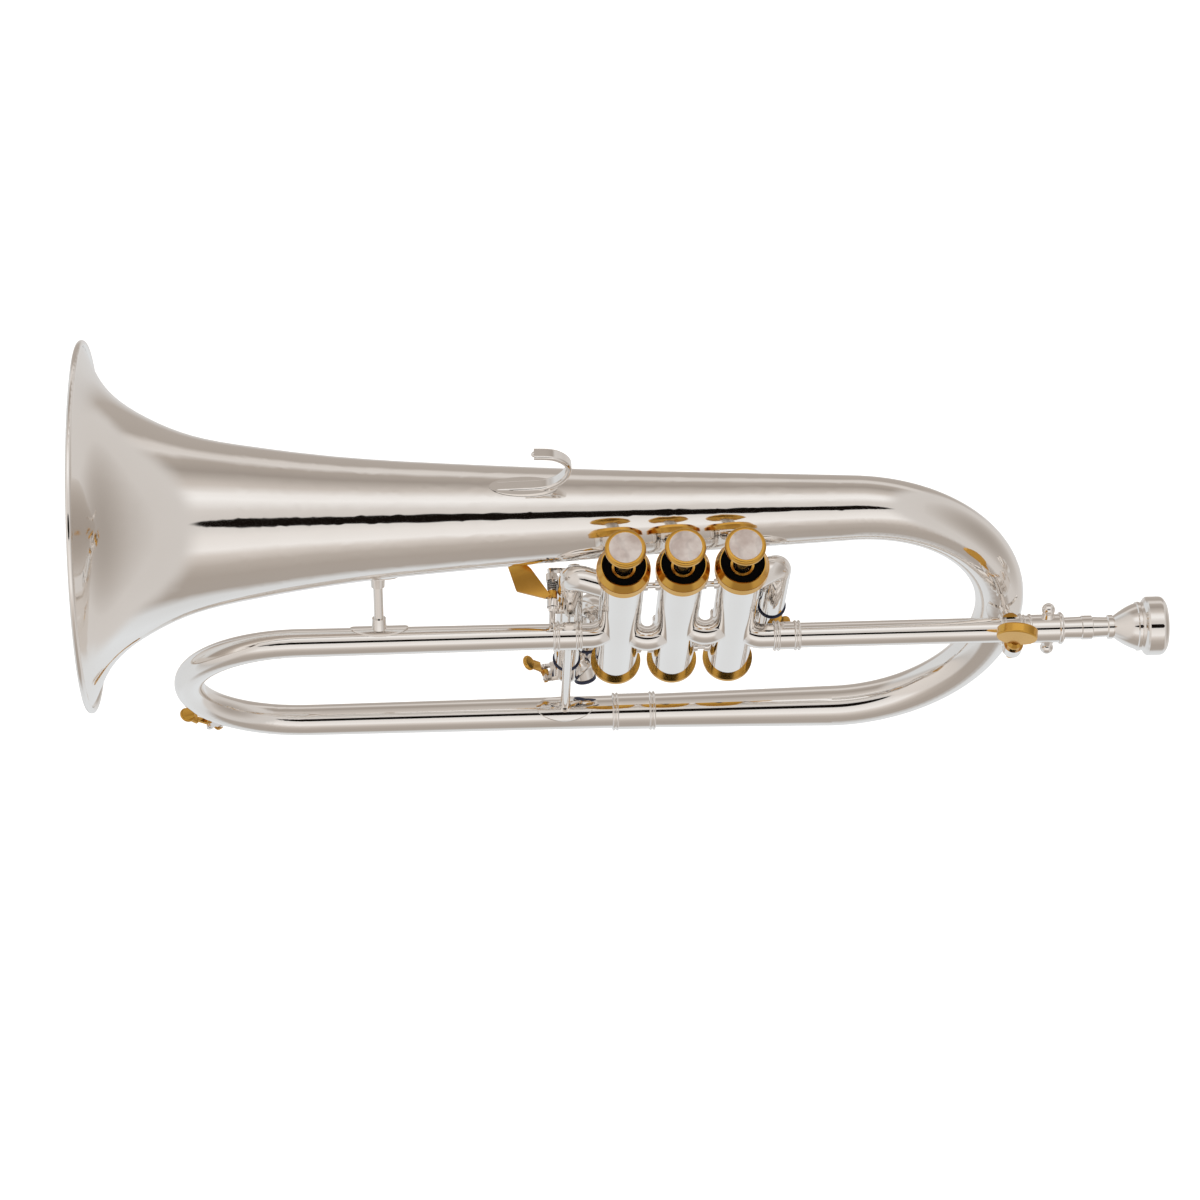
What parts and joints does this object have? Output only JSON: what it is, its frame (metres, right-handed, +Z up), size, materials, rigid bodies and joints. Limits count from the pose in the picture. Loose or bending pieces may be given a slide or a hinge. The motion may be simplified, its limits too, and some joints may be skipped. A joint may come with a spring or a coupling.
{
  "type": "flugelhorn",
  "caption": "Flugelhorn: conical bell and bows, sprung piston valves with pearl buttons, valve slides with a finger trigger, water keys, sliding mouthpipe and mouthpiece.",
  "frame": {"origin": "on the axis of the middle valve, level with the tube that leaves the valve block", "axes": "+X towards the player along the bell, +Z up the valves to the finger buttons, +Y the player's right, where the bell lies"},
  "size_m": [0.4674, 0.1588, 0.2226],
  "materials": {
    "silver_plate": "silver-plated brass, polished to a mirror",
    "gold_plate": "gold-plated brass, satin",
    "piston_metal": "fine ground nickel alloy",
    "pearl": "polished mother of pearl",
    "felt": "black felt",
    "navy_rubber": "dark blue rubber",
    "cork": "natural cork",
    "guide_nylon": "white nylon",
    "spring_steel": "spring steel"
  },
  "bodies": {
    "horn": {"bell": "silver_plate", "bell_rim_wire": "silver_plate", "bell_bow": "silver_plate", "front_bow": "silver_plate", "ferrules": "silver_plate", "valve_elbows": "silver_plate", "crossover_tubes": "silver_plate", "lead_pipe": "silver_plate", "tuning_sleeve": "silver_plate", "tuning_clamp": "silver_plate", "valve_casing_1": "silver_plate", "top_cap_1": "gold_plate", "bottom_cap_1": "gold_plate", "valve_spring_1": "spring_steel", "valve_casing_2": "silver_plate", "top_cap_2": "gold_plate", "bottom_cap_2": "gold_plate", "valve_spring_2": "spring_steel", "valve_casing_3": "silver_plate", "top_cap_3": "gold_plate", "bottom_cap_3": "gold_plate", "valve_spring_3": "spring_steel", "cap_felts": "felt", "valve_guides": "guide_nylon", "casing_braces": "silver_plate", "slide_rings": "navy_rubber", "third_slide_outer": "silver_plate", "first_slide_outer": "silver_plate", "second_slide_outer": "silver_plate", "trigger_mount": "silver_plate", "trigger_spring": "spring_steel", "braces": "silver_plate", "pinky_hook": "silver_plate", "front_key_saddle": "silver_plate", "front_key_spring": "spring_steel"},
    "piston_1": {"piston_1": "piston_metal", "finger_button_1": "gold_plate", "button_pearl_1": "pearl"},
    "piston_2": {"piston_2": "piston_metal", "finger_button_2": "gold_plate", "button_pearl_2": "pearl"},
    "piston_3": {"piston_3": "piston_metal", "finger_button_3": "gold_plate", "button_pearl_3": "pearl"},
    "third_slide": {"third_slide": "silver_plate", "third_slide_bumper": "navy_rubber", "trigger_rod": "silver_plate", "third_key_saddle": "silver_plate", "third_key_spring": "spring_steel"},
    "third_trigger": {"third_trigger": "gold_plate"},
    "third_water_key": {"third_key_lever": "gold_plate", "third_key_cork": "cork"},
    "front_water_key": {"front_key_lever": "gold_plate", "front_key_cork": "cork"},
    "first_slide": {"first_slide": "silver_plate", "first_slide_tab": "gold_plate"},
    "second_slide": {"second_slide": "silver_plate"},
    "mouthpipe": {"mouthpipe": "silver_plate"},
    "tuning_screw": {"tuning_screw": "gold_plate"},
    "mouthpiece": {"mouthpiece": "silver_plate"}
  },
  "joints": [
    {"name": "valve_1", "type": "slide", "parent": "horn", "child": "piston_1", "axis": [0, 0, -1], "range_m": [0, 0.016], "stiffness_N_per_m": 160, "springref_m": -0.02, "deforming": ["valve_spring_1"]},
    {"name": "valve_2", "type": "slide", "parent": "horn", "child": "piston_2", "axis": [0, 0, -1], "range_m": [0, 0.016], "stiffness_N_per_m": 160, "springref_m": -0.02, "deforming": ["valve_spring_2"]},
    {"name": "valve_3", "type": "slide", "parent": "horn", "child": "piston_3", "axis": [0, 0, -1], "range_m": [0, 0.016], "stiffness_N_per_m": 160, "springref_m": -0.02, "deforming": ["valve_spring_3"]},
    {"name": "third_slide_out", "type": "slide", "parent": "horn", "child": "third_slide", "axis": [0, 0, -1], "range_m": [0, 0.0035], "stiffness_N_per_m": 200, "springref_m": -0.015},
    {"name": "third_trigger_turn", "type": "hinge", "parent": "horn", "child": "third_trigger", "pos_m": [-0.0542, 0.0056, 0.02], "axis": [0, 1, 0], "range_deg": [0, 20]},
    {"name": "third_key_turn", "type": "hinge", "parent": "third_slide", "child": "third_water_key", "pos_m": [-0.05583, 0.00616, -0.0705], "axis": [-0.1191, 0.9929, 0], "range_deg": [0, 15], "stiffness_Nm_per_rad": 0.04, "springref_deg": -20.05},
    {"name": "front_key_turn", "type": "hinge", "parent": "horn", "child": "front_water_key", "pos_m": [-0.20864, -0.00812, -0.08352], "axis": [-0.1369, 0.9805, -0.1408], "range_deg": [0, 12], "stiffness_Nm_per_rad": 0.04, "springref_deg": -20.05},
    {"name": "first_slide_out", "type": "slide", "parent": "horn", "child": "first_slide", "axis": [0, 0, -1], "range_m": [0, 0.006]},
    {"name": "second_slide_out", "type": "slide", "parent": "horn", "child": "second_slide", "axis": [0, 1, 0], "range_m": [0, 0.006]},
    {"name": "mouthpipe_out", "type": "slide", "parent": "horn", "child": "mouthpipe", "axis": [1, 0, 0], "range_m": [0, 0.015]},
    {"name": "tuning_screw_turn", "type": "hinge", "parent": "horn", "child": "tuning_screw", "pos_m": [0.1463, -0.0156, 0], "axis": [0, 0, 1], "range_deg": [-90, 90]},
    {"name": "mouthpiece_out", "type": "slide", "parent": "mouthpipe", "child": "mouthpiece", "axis": [1, 0, 0], "range_m": [0, 0.02]}
  ],
  "couplings": [
    {"joint": "third_trigger_turn", "follows": "third_slide_out", "rad_per_m": 99.1}
  ]
}
